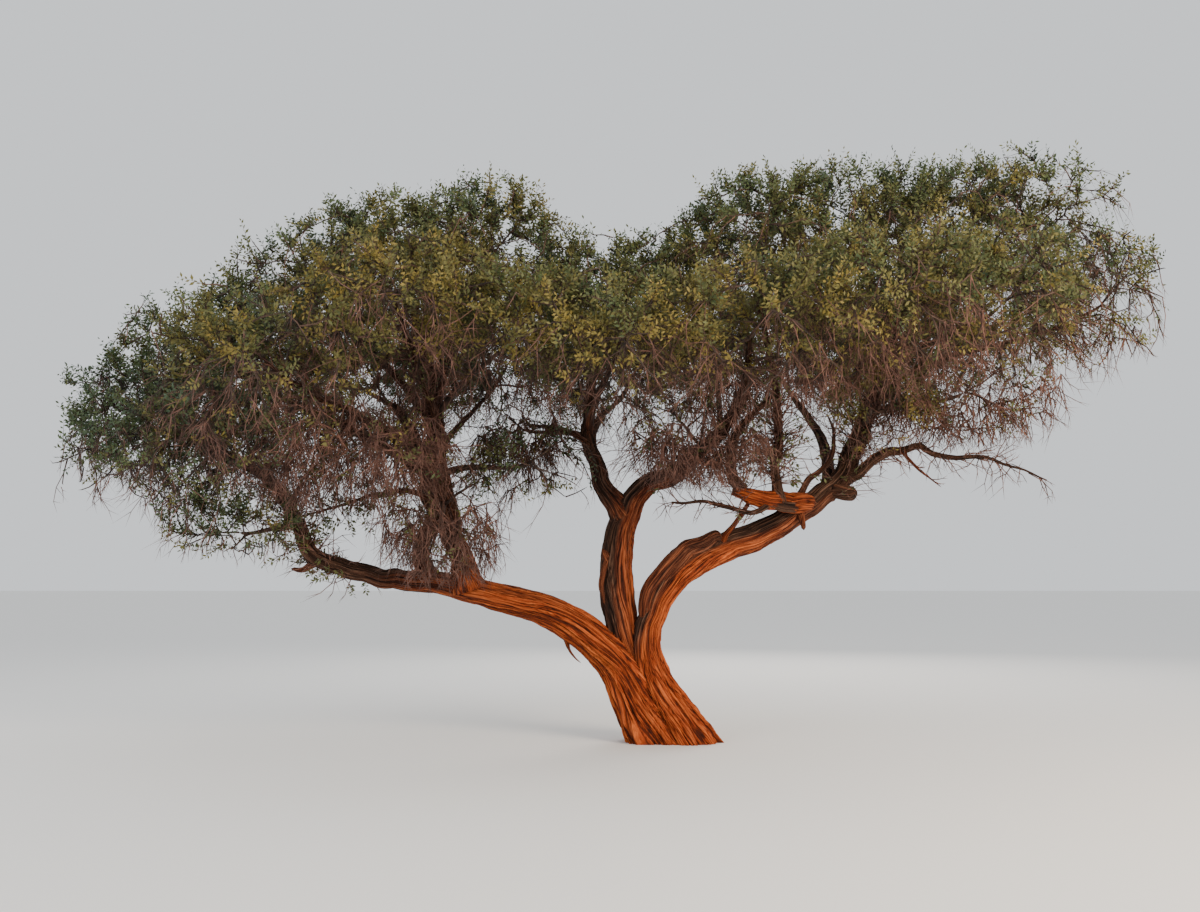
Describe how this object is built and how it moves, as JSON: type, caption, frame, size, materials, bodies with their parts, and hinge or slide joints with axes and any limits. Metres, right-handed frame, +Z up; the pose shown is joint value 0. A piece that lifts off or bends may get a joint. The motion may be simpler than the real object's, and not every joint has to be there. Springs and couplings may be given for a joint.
{
  "type": "acacia tree",
  "caption": "Old spreading acacia of dry country: short leaning trunk that forks low, long bent boughs, a broad flat-topped open crown and bare hanging twigs.",
  "frame": {"origin": "middle of the flat cut under the trunk, at ground level", "axes": "+Z up; +X to the right of the tree as seen from its front, along the widest spread; +Y to the back"},
  "size_m": [11.314, 5.9666, 6.147],
  "materials": {
    "bark": "deeply furrowed, matt",
    "foliage": "fine matt leaves in sprays",
    "bare_twigs": "dry matt twigs"
  },
  "bodies": {
    "root": {"bare_branch": "bark", "centre_back_bough": "bark", "centre_back_foliage": "foliage", "centre_dead_twigs": "bare_twigs", "centre_front_bough": "bark", "centre_front_foliage": "foliage", "centre_gold_foliage": "foliage", "centre_hanging_twigs": "bare_twigs", "centre_left_prong": "bark", "centre_right_foliage": "foliage", "centre_right_prong": "bark", "centre_stem": "bark", "centre_top_foliage": "foliage", "dead_branch": "bark", "left_back_foliage": "foliage", "left_bough": "bark", "left_brow_bough": "bark", "left_brow_foliage": "foliage", "left_crest_foliage": "foliage", "left_east_bough": "bark", "left_front_bough": "bark", "left_front_foliage": "foliage", "left_gold_bough": "bark", "left_gold_foliage": "foliage", "left_hanging_twigs": "bare_twigs", "left_inner_foliage": "foliage", "left_low_bough": "bark", "left_low_foliage": "foliage", "left_low_twigs": "bare_twigs", "left_rear_bough": "bark", "left_rear_foliage": "foliage", "left_rise_back": "bark", "left_rise_front": "bark", "left_shoulder_foliage": "foliage", "left_tip_foliage": "foliage", "left_top_foliage": "foliage", "left_west_bough": "bark", "left_wisp_foliage": "foliage", "low_leafy_branch": "foliage", "return_branch": "bark", "return_riser": "bark", "right_back_bough": "bark", "right_back_foliage": "foliage", "right_bough": "bark", "right_brow_bough": "bark", "right_brow_foliage": "foliage", "right_crest_foliage": "foliage", "right_east_bough": "bark", "right_fore_foliage": "foliage", "right_front_bough": "bark", "right_front_foliage": "foliage", "right_hanging_twigs": "bare_twigs", "right_high_bough": "bark", "right_high_foliage": "foliage", "right_inner_foliage": "foliage", "right_rear_foliage": "foliage", "right_tip_foliage": "foliage", "right_top_foliage": "foliage", "right_upper_bough": "bark", "trunk": "bark"}
  },
  "joints": []
}
